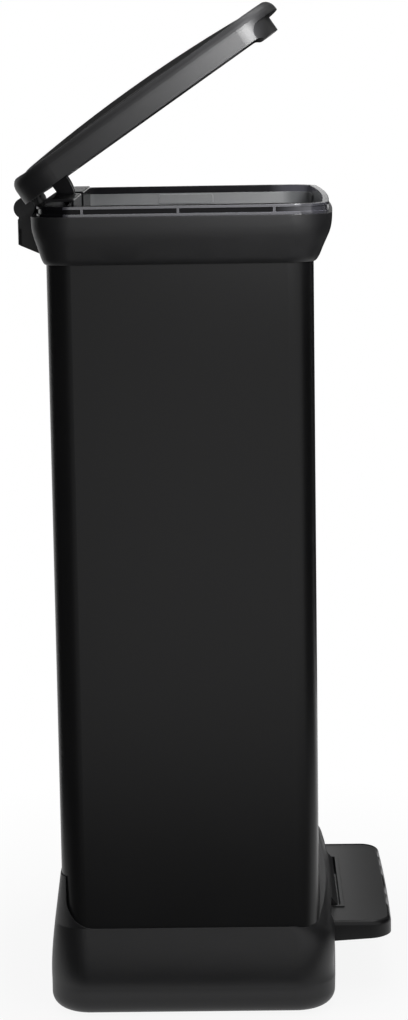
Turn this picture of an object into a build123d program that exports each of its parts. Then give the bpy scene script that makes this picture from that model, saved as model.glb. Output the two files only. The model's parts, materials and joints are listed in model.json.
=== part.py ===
from build123d import *
from math import cos, radians, sin
import os

os.makedirs("parts", exist_ok=True)

# Pedal bin. Millimetres, +Z up, the pedal to the front (-Y), the hinge to the rear (+Y), X across.
# It is drawn about the middle of the sheet-steel body, on the floor, and each piece is written with
# the origin under the middle of the whole bin.
# Side profiles are drawn as (forward, height): forward is the distance ahead of the body's middle.

# ---- Driving dimensions -------------------------------------------------------------------------

# Sheet-steel body
body_half_width = 180
body_rear = 114
body_front = 114
body_corner = 22
body_wall = 0.8
front_bow = 4  # how far the middle of the front stands ahead of its corners
body_top = 691
groove_depth = 5  # of the groove in the base that the sheet stands in

# Collar round the top of the body
collar_side = 15  # overhang of the collar beyond the body
collar_rear = 12
collar_front = 16.5
collar_round = 13  # how much larger its corner radius is
collar_lap = 27  # how far it reaches down over the body
collar_height = 41
collar_skin = 2.5
collar_seat = 3  # flange that stops the body sheet
collar_lip = 4  # solid lower lip, below the hollow
mouth_side = 5.5  # how far the mouth stands outside the body
mouth_rear = 3.5
mouth_front = 9.5
mouth_round = 6

# Rim ring that stands in the mouth
ring_height = 8.7
ring_inset_side = 6
ring_inset_rear = 5
ring_inset_front = 3
ring_bead = 1.6
ring_bead_height = 2.2
ring_rib = 2
ring_round = 0.6
ring_rib_pitch = 81
ring_skirt = 9.5
ring_skirt_wall = 1.5

# Bag strips inside the ring, along the sides and round the front corners
strip_wall = 1.5
strip_drop = 9  # how far their lower edge lies below the top of the collar
strip_height = 11
strip_rear = 107
strip_end = 130  # distance from the middle to their end on the front
strip_tab = 53
strip_round = 2

# Base moulding
base_side = 11  # flare of the base beyond the body at its waist
base_rear = 11
base_front = 14.5
base_round = 14
base_wall = 3.5
roof_share = 0.55  # of the way in to the low edge, where the skirt meets the deck
roof_front_share = 0.12  # the same at the front, which stays full until just below its edge
base_roof_wall = 3  # wall of the skirt there
base_low_edge = 78.5  # top edge along the sides and the front
base_rear_edge = 124
rim_side = 1.2  # what is left of the flare at the low edge
rim_rear = 7.5
rim_front = 1.5
rim_bow = 10  # bow of the low edge across the front
upstand_flare = 1  # what is left of the flare at the top of the rear upstand
base_foot_round = 13
base_waist = 26
foot_flange = 22
foot_thickness = 5
cradle_inset = 4.5  # from the back of the body to the foot of the rear upstand
cradle_round = 25
deck_bottom = 73
deck_thickness = 3
ledge_thickness = 3
ledge_width = 7
fit_gap = 0.3  # between mouldings and the sheet they hold
apron_reach = 21  # how far the middle apron stands ahead of the body's front corners
apron_crest = 8  # how far ahead of them its top starts to slope down
apron_shoulder = 62

# Pedal
pedal_half_width = 121
pedal_rear = 126
pedal_front = 181.5
pedal_bow = 1.5
pedal_corner = 19
pedal_top = 63
pedal_depth = 19
pedal_lift = 3.5  # how much shallower it is at the front
pedal_skin = 2.5
pedal_rim = 3.5
pedal_rim_height = 1
pedal_edge = 5
pedal_rib = 1.5
pedal_rib_pitch = 32
pedal_rib_rise = 2  # of the ribs above the pedal's bottom edge
bay_depth = 6  # from the body's front corners to the back of the bays
notch_half_width = 74.5
notch_gap = 2
apron_gap = 1.5  # clearance beside the apron that stands in the notch
bay_gap = 2.5  # clearance beside the pedal in its bays
bay_bottom = 37
bay_top = 71

# Pedal lever and axle
pivot_inset = 16  # from the body's front corners back to the axle
pivot_height = 50
axle_radius = 3
axle_end = 115
axle_chamfer = 0.6
arm_x = 95
arm_width = 20
arm_inset = 10.5  # from the pedal's front corners back to the ends of the arms
lever_plate = 4
tail_height = 34
tail_width = 26
tail_past = 4.5  # how far the tail runs on behind the push rod
eye_radius = 7
eye_width = 9
rivet_insets = (10, 26)  # from the ends of the arms
lever_bend_radius = 6
plan_round = 4
# How far behind the axle the lever bends down, meets the yoke's two edges and is level again.
arm_bend_back = 10
yoke_front_back = 16
tail_bend_back = 36
yoke_rear_back = 40
yoke_run = 30  # length over which the yoke draws in to the tail
clip_half = 0.6  # half the thickness of the spring washers
lug_width = 5
lug_gap = 1
lug_radius = 9

# Push rod
rod_inset = 11.5  # from the back of the body
rod_radius = 3
rod_gap = 0.5
rod_clearance = 1
cap_length = 16
cap_width = 13
cap_height = 14
cap_neck = 11
cap_round = 1.5
guide_heights = (200, 540)
guide_height = 14
channel_half_width = 18
channel_wall = 1.5
channel_reach = 12  # from the rod forward to the channel's face
channel_foot = 12
channel_screw_step = 7  # from the channel's side to the screw in its foot
channel_gap = 4  # below the rear guard

# Lid hinge
hinge_setback = 12.5  # behind the collar
hinge_rise = 2.5  # above the collar
lid_open = 34.3  # how far the lid stands open in the pose that is modelled
knuckle_radius = 9.3
lid_knuckle_radius = 8.5
knuckle_count = 5
hinge_half_width = 75
pin_cover = 5  # left blind at each end of the hinge pin
hinge_pin_radius = 2.5
running_gap = 0.05
side_gap = 0.5
housing_back = 6.2  # how far the housing stands behind the hinge line
housing_drop = 10  # from the hinge line down to the housing's top
shoulder_drop = 32
toe_drop = 47
housing_overlap = 4  # drawn into the body before its seat is cut
housing_round = 4
neck_width = 10
neck_depth = 8
hinge_screw_x = 60
hinge_screw_drop = 23

# Lid, drawn as if it were shut
lid_gap = 4  # above the collar
lid_skirt = 15  # height of the skirt
lip_drop = 2  # below the skirt's top edge, where the lip starts to draw in
lip_rise = 7.5  # of the lip's top above the skirt's top edge
lip_draw_in = 7
lip_steps = 6
crown_rise = 15.2
lid_over_rear = 1.5  # how far it stands out behind the collar
lip_reach = 9.5  # how far the lip stands out ahead of it
lid_corner = 38
lid_wall = 3
nose_gap = 0.7  # above the collar, where the front wall hangs lower than the skirt
nose_run = 8  # length over which the lower edge falls to the nose, ahead of the finger scoop
nose_step = 1  # how far the nose is drawn in from the sides
nose_corner = 33
nose_wall = 2.8
scoop_forward = 113
scoop_round = 9
scoop_drop = 3.5
# Top edge of the lid's sides, from the hinge end to the lip: forward, height above the skirt.
edge_rises = (
    (-128, 7.8),
    (-118, 7),
    (-108, 4.2),
    (-97, 0),
    (-86, -1.6),
    (10, 0.3),
    (100, 0.9),
    (111, 1.5),
    (120, 4),
    (130, 6.4),
    (140, 9),
)
gutter = 5
gutter_depth = 2.5
flange_thickness = 2
flange_width = 18
panel_wall = 1.2
panel_round = 6
crown_centre = -5  # forward place of the highest point
crown_length_radius = 1300
crown_width_radius = 2600
liner_thickness = 1.5
liner_gap = 0.8
liner_field = 21  # how far inside the panel's edge the liner's field starts

# Lid lever and its pin
lever_reach = 38  # from the hinge line to the lever pin
lever_angle = -2  # of the lever pin below the hinge line, in the pose that is modelled
lever_pin_radius = 3
lever_cheek = 3
lever_inside = 8
lever_nose = 4
lever_foot = 2.5
foot_start = 26.5  # from the hinge line to the foot
foot_length = 14
foot_half_width = 14

# Rear guard
guard_half_width = 130
guard_back = 3  # how far it stands out behind the body
guard_depth = 26
guard_rise = 3.7  # above the ring
guard_drop = 51  # below the top of the body
guard_wall = 2
guard_slot = 17
guard_sill = 22  # what is left of it below the slot
guard_slot_web = 2
guard_round = 1.5

# Small parts
buffer_radius = 3.2
buffer_forward = (-70, 75)
liner_screw_inset = 16  # from the side of the nose
liner_screw_forward = (-95, 5, 100)
pad_radius = 9
pad_height = 3
pad_stand = 0.8  # how far the pads hold the base off the floor
pad_inset = 25
screw_radius = 1.8
screw_head_radius = 3.6
screw_head = 2.2

# ---- Places worked out from them ----------------------------------------------------------------

body_bottom = deck_bottom - groove_depth
collar_bottom = body_top - collar_lap
collar_top = collar_bottom + collar_height
ring_top = collar_top + ring_height
rib_x = body_half_width + collar_side - ring_inset_side - ring_bead
strip_bottom = collar_top - strip_drop
strip_inset = fit_gap + ring_skirt_wall  # from the mouth to the face that the strips lie on
strip_x = body_half_width + mouth_side - strip_inset

deck_top = deck_bottom + deck_thickness
cradle_rear = body_rear - cradle_inset
apron_front = body_front + apron_reach
apron_half_width = notch_half_width - apron_gap
hollow_top = body_bottom - ledge_thickness
bay_back = body_front + bay_depth
bay_x = (apron_half_width + pedal_half_width + bay_gap) / 2
bay_width = pedal_half_width + bay_gap - apron_half_width
pad_x = body_half_width + base_side - pad_inset
pad_places = [
    (pad_x, body_rear + base_rear - pad_inset),
    (-pad_x, body_rear + base_rear - pad_inset),
    (pad_x, pad_inset - body_front - base_front),
    (-pad_x, pad_inset - body_front - base_front),
]

pedal_bottom = pedal_top - pedal_depth
notch_front = apron_front + notch_gap
tread_underside = pedal_top - pedal_skin
rib_bottom = pedal_bottom + pedal_lift + pedal_rib_rise
arm_height = tread_underside - lever_plate  # underside of the lever's arms
tail_top = tail_height + lever_plate
pivot_forward = body_front - pivot_inset
rod_forward = rod_inset - body_rear
tread_reach = pedal_front - arm_inset
arm_bend = pivot_forward - arm_bend_back
tail_bend = pivot_forward - tail_bend_back
tail_end = rod_forward - tail_past
yoke_front = pivot_forward - yoke_front_back
yoke_rear = pivot_forward - yoke_rear_back
lever_plan = [
    (0, -tail_end),
    (tail_width / 2, -tail_end),
    (tail_width / 2, yoke_run - yoke_rear),
    (arm_x + arm_width / 2, -yoke_rear),
    (arm_x + arm_width / 2, -tread_reach),
    (arm_x - arm_width / 2, -tread_reach),
    (arm_x - arm_width / 2, -yoke_front),
    (0, -yoke_front),
]
rivet_places = [(x, inset - tread_reach) for x in (-arm_x, arm_x) for inset in rivet_insets]
clip_x = arm_x + arm_width / 2 + lug_gap + lug_width + 2 * clip_half
lug_step = arm_width / 2 + lug_gap + lug_width / 2
lug_places = [arm_x - lug_step, arm_x + lug_step, -arm_x + lug_step, -arm_x - lug_step]

guard_rear = -body_rear - guard_back
guard_front = guard_rear + guard_depth
guard_lip = ring_top + fit_gap
guard_top = ring_top + guard_rise
guard_bottom = body_top - guard_drop
guard_slot_bottom = guard_bottom + guard_sill
channel_top = guard_bottom - channel_gap
channel_front = rod_forward + channel_reach
channel_back = body_rear - body_wall - fit_gap
foot_y = (channel_back - channel_front) / 2
channel_screw_x = channel_half_width + channel_screw_step
channel_screw_places = [(channel_screw_x, foot_y), (-channel_screw_x, foot_y)]
guide_depth = channel_back + channel_front - channel_wall
guide_y = channel_back - guide_depth / 2

hinge_forward = -body_rear - collar_rear - hinge_setback
hinge_height = collar_top + hinge_rise
housing_rear = hinge_forward - housing_back
housing_inner = housing_overlap - body_rear
housing_top = hinge_height - housing_drop
housing_shoulder = hinge_height - shoulder_drop
housing_toe = hinge_height - toe_drop
neck_bottom = housing_top - neck_depth
pin_half = hinge_half_width - pin_cover
knuckle_pitch = 2 * hinge_half_width / knuckle_count
lid_knuckle_places = [-knuckle_pitch, knuckle_pitch]
housing_knuckle_places = [-2 * knuckle_pitch, 0, 2 * knuckle_pitch]
hinge_screw_height = hinge_height - hinge_screw_drop
hinge_screw_places = [(x, hinge_screw_height) for x in (-hinge_screw_x, hinge_screw_x)]

lid_half_width = body_half_width + collar_side
lid_rear = body_rear + collar_rear + lid_over_rear
lid_front = body_front + collar_front + lip_reach
nose_half_width = lid_half_width - nose_step
nose_front = body_front + collar_front
lid_bottom = collar_top + lid_gap
nose_bottom = collar_top + nose_gap
lid_edge = lid_bottom + lid_skirt  # top edge of the skirt along the sides
lip_root = lid_edge - lip_drop
nose_end = scoop_forward + nose_run
lid_lip_top = lid_edge + lip_rise
lid_crown = lid_edge + crown_rise
scoop_top = lid_edge - scoop_drop
web_forward = lid_wall - lid_rear - 1  # the lid's knuckles run 1 mm into its rear wall
edge_points = [(forward, lid_edge + rise) for forward, rise in edge_rises]
edge_above = 2 * lid_lip_top  # well above the lid
lid_beyond = lid_half_width + 5  # well past its sides
panel_seat = lid_edge - gutter_depth
flange_bottom = panel_seat - flange_thickness
liner_bottom = flange_bottom - liner_thickness
liner_screw_x = nose_half_width - liner_screw_inset
liner_screw_places = [
    (x, -forward) for x in (-liner_screw_x, liner_screw_x) for forward in liner_screw_forward
]
# The buffers come down on the middle of the ring's top face.
ring_side = body_half_width + collar_side - ring_inset_side
buffer_x = (ring_side + strip_x) / 2
buffer_places = [(x, -forward) for x in (-buffer_x, buffer_x) for forward in buffer_forward]

pin_height = hinge_height + lever_reach * sin(radians(lever_angle))
cap_top = pin_height - lever_pin_radius - rod_gap
shut_pin = (
    hinge_forward + lever_reach * cos(radians(lever_angle - lid_open)),
    hinge_height + lever_reach * sin(radians(lever_angle - lid_open)),
)
foot_rear = hinge_forward + foot_start
foot_front = foot_rear + foot_length
foot_bottom = liner_bottom - lever_foot

# From the body's middle, about which everything is drawn, to the middle of the whole bin.
middle_shift = (pedal_front + pedal_bow + hinge_forward - knuckle_radius) / 2

# Seen from the left-hand side of the bin: forward to the right, up upwards.
SIDE = Plane(origin=(0, 0, 0), x_dir=(0, -1, 0), z_dir=(-1, 0, 0))

# Rectangles that stand on the place they are given, or hang from it.
STANDING = (Align.CENTER, Align.MIN)
HANGING = (Align.CENTER, Align.MAX)

# Turns what is drawn for the shut lid to the pose that is modelled.
lid_turn = (
    Pos(0, -hinge_forward, hinge_height) * Rot(-lid_open, 0, 0) * Pos(0, hinge_forward, -hinge_height)
)


def write(part, name):
    """Writes one piece, moved so that the origin lies under the middle of the whole bin."""
    piece = Pos(0, middle_shift, 0) * part
    piece.label = name
    export_step(piece, f"parts/{name}.step")


def write_lid(part, name):
    """Writes a piece of the lid, which is drawn shut, in the pose that is modelled."""
    write(lid_turn * part, name)


# Axis that the crown of the lid panel is turned about.
crown_axis = Axis((0, 0, lid_crown - crown_width_radius), (0, 1, 0))


def footprint(half_width, rear, front, corner, bow=front_bow):
    """Outline with a flat back, flat sides, round corners and a gently bowed front."""
    x = half_width - corner
    back = rear - corner
    fore = corner - front
    with BuildLine() as border:
        Line((x, rear), (-x, rear))
        CenterArc((-x, back), corner, 90, 90)
        Line((-half_width, back), (-half_width, fore))
        CenterArc((-x, fore), corner, 180, 90)
        ThreePointArc((-x, -front), (0, -front - bow), (x, -front))
        CenterArc((x, fore), corner, 270, 90)
        Line((half_width, fore), (half_width, back))
        CenterArc((x, back), corner, 0, 90)
    return border.wire()


def body_outline(grow=0):
    return footprint(body_half_width + grow, body_rear + grow, body_front + grow, body_corner + grow)


def collar_outline(share, grow=0):
    """Between the body (share 0) and the full collar (share 1)."""
    return footprint(
        body_half_width + share * collar_side + grow,
        body_rear + share * collar_rear + grow,
        body_front + share * collar_front + grow,
        body_corner + share * collar_round + grow,
    )


def mouth_outline(grow=0):
    return footprint(
        body_half_width + mouth_side + grow,
        body_rear + mouth_rear + grow,
        body_front + mouth_front + grow,
        body_corner + mouth_round + grow,
    )


def ring_outline(grow=0):
    return footprint(
        body_half_width + collar_side - ring_inset_side + grow,
        body_rear + collar_rear - ring_inset_rear + grow,
        body_front + collar_front - ring_inset_front + grow,
        body_corner + collar_round - ring_inset_rear + grow,
    )


def base_outline(grow=0):
    """The base at its waist."""
    return footprint(
        body_half_width + base_side + grow,
        body_rear + base_rear + grow,
        body_front + base_front + grow,
        body_corner + base_round + grow,
    )


def rim_outline(grow=0):
    """The base at its low edge, where it has drawn in to the body but for its bowed front."""
    return footprint(
        body_half_width + rim_side + grow,
        body_rear + rim_rear + grow,
        body_front + rim_front + grow,
        body_corner + rim_rear + grow,
        rim_bow,
    )


def skirt_outline(share, front_share, grow=0):
    """Between the waist (shares 0) and the low edge (shares 1)."""
    return footprint(
        body_half_width + base_side + share * (rim_side - base_side) + grow,
        body_rear + base_rear + share * (rim_rear - base_rear) + grow,
        body_front + base_front + front_share * (rim_front - base_front) + grow,
        body_corner + base_round + share * (rim_rear - base_round) + grow,
        front_bow + front_share * (rim_bow - front_bow),
    )


def pedal_outline(grow=0):
    """Bowed front edge, round front corners, square back."""
    x = pedal_half_width + grow
    front_y = -pedal_front - grow
    with BuildLine() as border:
        front = ThreePointArc((-x, front_y), (0, front_y - pedal_bow), (x, front_y))
        Polyline(front @ 1, (x, grow - pedal_rear), (-x, grow - pedal_rear), front @ 0)
        fillet(border.vertices().group_by(Axis.Y)[0], radius=pedal_corner + grow)
    return border.wire()


def notch_size(grow=0):
    """Width and depth of a rectangle, centred on the pedal's back edge, that makes its notch."""
    return 2 * (notch_half_width + grow), 2 * (notch_front - pedal_rear + grow)


def lid_outline(grow=0):
    return footprint(lid_half_width + grow, lid_rear + grow, lid_front + grow, lid_corner + grow)


def nose_outline(grow=0):
    return footprint(nose_half_width + grow, lid_rear + grow, nose_front + grow, nose_corner + grow)


def panel_outline(grow=0):
    return footprint(
        lid_half_width - gutter + grow,
        lid_rear - gutter - lid_wall + grow,
        nose_front - gutter + grow,
        max(nose_corner - gutter + grow, panel_round),
    )


def cavity_outline(grow=0):
    return footprint(
        nose_half_width - nose_wall + grow,
        lid_rear - lid_wall + grow,
        nose_front - nose_wall + grow,
        nose_corner - nose_wall + grow,
    )


# ---- Body and collar ----------------------------------------------------------------------------

with BuildPart() as body_shell:
    with BuildSketch(Plane.XY.offset(body_bottom)):
        make_face(body_outline())
        make_face(body_outline(-body_wall), mode=Mode.SUBTRACT)
    extrude(amount=body_top - body_bottom)
write(body_shell.part, "body_shell")

# Height above the collar's bottom edge, and how far the collar has flared out there.
collar_sections = ((0, 0.12), (2.5, 0.26), (16, 0.63), (27, 0.91), (33, 0.98), (collar_height, 1))

with BuildPart() as collar_form:
    for rise, share in collar_sections:
        with BuildSketch(Plane.XY.offset(collar_bottom + rise)):
            make_face(collar_outline(share))
    loft()

with BuildPart() as collar:
    add(collar_form.part)
    with BuildSketch(Plane.XY.offset(collar_bottom)):
        make_face(body_outline(fit_gap))
    extrude(amount=body_top - collar_bottom, mode=Mode.SUBTRACT)
    with BuildSketch(Plane.XY.offset(body_top)):
        make_face(body_outline(-body_wall))
    extrude(amount=collar_seat, mode=Mode.SUBTRACT)
    with BuildSketch(Plane.XY.offset(body_top + collar_seat)):
        make_face(mouth_outline())
    extrude(amount=collar_height, mode=Mode.SUBTRACT)
    # Hollow behind the skin, open to the body sheet.
    with BuildSketch(Plane.XY.offset(collar_bottom + collar_lip)):
        make_face(collar_outline(0.3, -collar_skin))
    with BuildSketch(Plane.XY.offset(body_top - collar_skin)):
        make_face(collar_outline(0.9, -collar_skin))
    loft(ruled=True, mode=Mode.SUBTRACT)
write(collar.part, "collar")

# ---- Rim ring, rear guard and bag strips --------------------------------------------------------

with BuildPart() as rim_ring:
    # Skirt that locates in the mouth of the collar.
    with BuildSketch(Plane.XY.offset(collar_top - ring_skirt)):
        make_face(mouth_outline(-fit_gap))
        make_face(mouth_outline(-fit_gap - ring_skirt_wall), mode=Mode.SUBTRACT)
    extrude(amount=ring_skirt)
    # Upright wall with a bead at its foot and one at its top.
    with BuildSketch(Plane.XY.offset(collar_top)):
        make_face(ring_outline(-ring_bead))
        make_face(mouth_outline(-fit_gap - ring_skirt_wall), mode=Mode.SUBTRACT)
    extrude(amount=ring_height)
    for bead_bottom in (collar_top, ring_top - ring_bead_height):
        with BuildSketch(Plane.XY.offset(bead_bottom)):
            make_face(ring_outline())
            make_face(ring_outline(-ring_bead - 1), mode=Mode.SUBTRACT)
        extrude(amount=ring_bead_height)
    # Short ribs tie the two beads together along the sides.
    with BuildSketch(Plane.XY.offset(collar_top)):
        with GridLocations(2 * rib_x, ring_rib_pitch, 2, 3):
            Rectangle(2 * ring_bead, ring_rib)
        make_face(ring_outline(), mode=Mode.INTERSECT)
    extrude(amount=ring_height)
    fillet(rim_ring.faces().sort_by(Axis.Z)[-1].edges(), radius=ring_round)
write(rim_ring.part, "rim_ring")

with BuildPart() as rear_guard:
    with BuildSketch(SIDE):
        with BuildLine():
            Polyline(
                (guard_rear, guard_lip),
                (guard_rear, guard_top),
                (guard_front, guard_top),
                (guard_front, guard_bottom),
                (guard_front - guard_wall, guard_bottom),
                (guard_front - guard_wall, guard_top - guard_wall),
                (guard_rear + guard_wall, guard_top - guard_wall),
                (guard_rear + guard_wall, guard_lip),
                close=True,
            )
        make_face()
        fillet(vertices().group_by(Axis.Y)[-1], radius=guard_round)
    extrude(amount=guard_half_width, both=True)
    # Slot that the lid lever swings in, open to the front.
    with BuildSketch(Plane.XY.offset(guard_slot_bottom)):
        with Locations((0, -guard_front)):
            Rectangle(2 * guard_slot, 2 * (guard_front - guard_rear - guard_slot_web))
    extrude(amount=guard_top, mode=Mode.SUBTRACT)
write(rear_guard.part, "rear_guard")

# The two strips mirror each other.
for name, side in (("bag_strip_left", -1), ("bag_strip_right", 1)):
    with BuildPart() as bag_strip:
        with BuildSketch(Plane.XY.offset(strip_bottom)):
            make_face(mouth_outline(-strip_inset))
            make_face(mouth_outline(-strip_inset - strip_wall), mode=Mode.SUBTRACT)
            with Locations((side * strip_end, strip_rear)):
                Rectangle(
                    strip_end,
                    strip_rear + 2 * body_front,
                    align=(Align.MIN if side > 0 else Align.MAX, Align.MAX),
                    mode=Mode.INTERSECT,
                )
        extrude(amount=strip_height)
        fillet(bag_strip.edges().filter_by(Axis.X).group_by(Axis.Y)[-1], radius=strip_round)
        end_edges = bag_strip.edges().filter_by(Axis.Y).sort_by(lambda edge: abs(edge.center().X))
        fillet(end_edges[:2], radius=strip_round)
        # Raised tab in the middle, which the bag is tucked behind.
        with BuildSketch(SIDE.offset(-side * strip_x)):
            with Locations((0, strip_bottom + strip_height / 2)):
                RectangleRounded(strip_tab, strip_height - strip_round, strip_round)
        extrude(amount=side * 2 * strip_wall)
    write(bag_strip.part, name)

# ---- Base ---------------------------------------------------------------------------------------

# Height, and how far the skirt has drawn in there at the sides and at the front.
skirt_sections = (
    (base_waist, 0, 0),
    (50, 0.16, 0.03),
    (hollow_top, roof_share, roof_front_share),
    (base_low_edge, 1, 1),
)

with BuildPart() as base:
    with BuildSketch(Plane.XY.offset(pad_stand)):
        make_face(base_outline())
    extrude(amount=base_waist - pad_stand)
    fillet(base.edges().group_by(Axis.Z)[0], radius=base_foot_round)
    for height, share, front_share in skirt_sections:
        with BuildSketch(Plane.XY.offset(height)):
            make_face(skirt_outline(share, front_share))
    loft()
    # Upstand round the back, with round corners down to the low edge.
    with BuildPart() as upstand:
        with BuildSketch(Plane.XY.offset(base_low_edge)):
            make_face(rim_outline())
        with BuildSketch(Plane.XY.offset(base_rear_edge)):
            make_face(body_outline(upstand_flare))
        loft(ruled=True)
        with BuildSketch(SIDE):
            with Locations((-cradle_rear, base_low_edge)):
                Rectangle(4 * body_front, base_rear_edge, align=(Align.MIN, Align.MIN))
            fillet(vertices().sort_by(Axis.X)[:2].sort_by(Axis.Y)[0], radius=cradle_round)
        extrude(amount=body_half_width + base_side, both=True, mode=Mode.SUBTRACT)
    # Apron in the middle of the front, which slopes down from the low edge.
    with BuildPart() as apron:
        with BuildSketch(SIDE):
            with BuildLine():
                Polyline(
                    (0, base_waist),
                    (0, base_low_edge),
                    (body_front + apron_crest, base_low_edge),
                    (apron_front, apron_shoulder),
                    (apron_front, base_waist + base_foot_round),
                    (body_front + base_front, base_waist),
                    close=True,
                )
            make_face()
        extrude(amount=apron_half_width, both=True)
    # Groove for the body sheet, round the raised deck.
    with BuildSketch(Plane.XY.offset(body_bottom)):
        make_face(body_outline(fit_gap))
        make_face(body_outline(-body_wall - fit_gap), mode=Mode.SUBTRACT)
    extrude(amount=base_rear_edge, mode=Mode.SUBTRACT)
    with BuildSketch(Plane.XY.offset(deck_top)):
        make_face(body_outline(fit_gap))
    extrude(amount=base_rear_edge, mode=Mode.SUBTRACT)
    # Open underside: a foot flange, the hollow skirt, and the higher hollow under the deck.
    with BuildSketch():
        make_face(base_outline(-base_foot_round - foot_flange))
    extrude(amount=base_waist, mode=Mode.SUBTRACT)
    with BuildSketch(Plane.XY.offset(foot_thickness)):
        make_face(base_outline(base_wall - base_foot_round))
    extrude(amount=base_foot_round, mode=Mode.SUBTRACT)
    with BuildSketch(Plane.XY.offset(base_foot_round)):
        make_face(base_outline(-base_wall))
    with BuildSketch(Plane.XY.offset(hollow_top)):
        make_face(skirt_outline(roof_share, roof_front_share, -base_roof_wall))
    loft(ruled=True, mode=Mode.SUBTRACT)
    with BuildSketch(Plane.XY.offset(base_waist)):
        make_face(body_outline(-ledge_width))
    extrude(amount=deck_bottom - base_waist, mode=Mode.SUBTRACT)
    # Lugs that carry the pedal axle.
    for x in lug_places:
        with BuildSketch(SIDE.offset(-x)):
            with Locations((pivot_forward, pivot_height)):
                Circle(lug_radius)
                Rectangle(2 * lug_radius, deck_bottom - pivot_height, align=STANDING)
        extrude(amount=lug_width / 2, both=True)
    with BuildSketch(SIDE):
        with Locations((pivot_forward, pivot_height)):
            Circle(axle_radius + running_gap)
    extrude(amount=axle_end, both=True, mode=Mode.SUBTRACT)
    # Bays in the front that the pedal's arms reach in through, either side of the apron.
    with BuildSketch(Plane.XY.offset(bay_bottom)):
        with Locations((bay_x, -bay_back), (-bay_x, -bay_back)):
            Rectangle(bay_width, pedal_front - bay_back, align=HANGING)
    extrude(amount=bay_top - bay_bottom, mode=Mode.SUBTRACT)
    # Hole for the push rod, and recesses for the floor pads.
    with BuildSketch(Plane.XY.offset(deck_bottom)):
        with Locations((0, -rod_forward)):
            Circle(rod_radius + rod_clearance)
    extrude(amount=deck_thickness, mode=Mode.SUBTRACT)
    with BuildSketch():
        with Locations(pad_places):
            Circle(pad_radius + fit_gap)
    extrude(amount=pad_height, mode=Mode.SUBTRACT)
write(base.part, "base")

with BuildPart() as floor_pads:
    with BuildSketch():
        with Locations(pad_places):
            Circle(pad_radius)
    extrude(amount=pad_height)
    chamfer(floor_pads.edges().group_by(Axis.Z)[0], length=pad_stand / 2)
write(floor_pads.part, "floor_pads")

# ---- Pedal, lever and axle ----------------------------------------------------------------------

with BuildPart() as pedal_tread:
    with BuildSketch(Plane.XY.offset(pedal_bottom)):
        make_face(pedal_outline())
    extrude(amount=pedal_depth)
    fillet(pedal_tread.faces().sort_by(Axis.Z)[-1].edges().group_by(Axis.Y)[0], radius=pedal_edge)
    # Underside that rises to the front.
    with BuildSketch(SIDE):
        with BuildLine():
            Polyline(
                (pedal_rear, pedal_bottom),
                (2 * pedal_front - pedal_rear, pedal_bottom),
                (2 * pedal_front - pedal_rear, pedal_bottom + 2 * pedal_lift),
                close=True,
            )
        make_face()
    extrude(amount=pedal_half_width, both=True, mode=Mode.SUBTRACT)
    # Notch that the base's apron fits into.
    with BuildSketch(Plane.XY.offset(pedal_bottom)):
        with Locations((0, -pedal_rear)):
            Rectangle(*notch_size())
    extrude(amount=pedal_depth, mode=Mode.SUBTRACT)
    # Shallow field inside a low rim.
    with BuildSketch(Plane.XY.offset(pedal_top - pedal_rim_height)):
        make_face(pedal_outline(-pedal_rim))
        with Locations((0, -pedal_rear)):
            Rectangle(*notch_size(pedal_rim), mode=Mode.SUBTRACT)
    extrude(amount=pedal_rim_height, mode=Mode.SUBTRACT)
    # Hollow underneath, open at the back where the arms enter.
    with BuildSketch(Plane.XY.offset(pedal_bottom)):
        make_face(pedal_outline(-pedal_skin))
        with Locations((0, -pedal_rear)):
            Rectangle(*notch_size(pedal_skin), mode=Mode.SUBTRACT)
        with Locations((arm_x, -pedal_rear), (-arm_x, -pedal_rear)):
            Rectangle(arm_width + 2 * lug_gap, 4 * pedal_skin)
    extrude(amount=tread_underside - pedal_bottom, mode=Mode.SUBTRACT)
    # Stiffening ribs.
    with BuildSketch(Plane.XY.offset(rib_bottom)):
        with Locations((0, -(notch_front + pedal_front) / 2)):
            with GridLocations(pedal_rib_pitch, 1, 5, 1):
                Rectangle(pedal_rib, pedal_front - notch_front)
    extrude(amount=tread_underside - rib_bottom)
write(pedal_tread.part, "pedal_tread")

# One pressed plate: level under the tread, down over the axle, level again to the tail.
with BuildPart() as pedal_lever:
    with BuildSketch(SIDE):
        with BuildLine():
            FilletPolyline(
                (tread_reach, arm_height),
                (arm_bend, arm_height),
                (tail_bend, tail_height),
                (tail_end, tail_height),
                radius=lever_bend_radius,
            )
            offset(amount=lever_plate, side=Side.RIGHT, closed=True)
        make_face()
    extrude(amount=arm_x + arm_width / 2, both=True)
    # Plan shape: two arms, joined by a yoke behind the axle, and one tail.
    with BuildPart(mode=Mode.INTERSECT):
        with BuildSketch():
            with BuildLine():
                Polyline(*lever_plan)
                mirror(about=Plane.YZ)
            make_face()
            fillet(vertices().filter_by(lambda corner: abs(corner.X) > plan_round), radius=plan_round)
        extrude(amount=pedal_top)
    for x in (-arm_x, arm_x):
        with BuildSketch(SIDE.offset(-x)):
            with Locations((pivot_forward, pivot_height)):
                Circle(eye_radius)
                Rectangle(2 * eye_radius, arm_height - pivot_height, align=STANDING)
        extrude(amount=eye_width / 2, both=True)
    with BuildSketch(SIDE):
        with Locations((pivot_forward, pivot_height)):
            Circle(axle_radius + running_gap)
    extrude(amount=axle_end, both=True, mode=Mode.SUBTRACT)
write(pedal_lever.part, "pedal_lever")

with BuildPart() as tread_rivets:
    with BuildSketch(Plane.XY.offset(arm_height)):
        with Locations(rivet_places):
            Circle(screw_head_radius)
    extrude(amount=-screw_head)
    fillet(tread_rivets.edges().group_by(Axis.Z)[0], radius=screw_head / 2)
write(tread_rivets.part, "tread_rivets")

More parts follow.
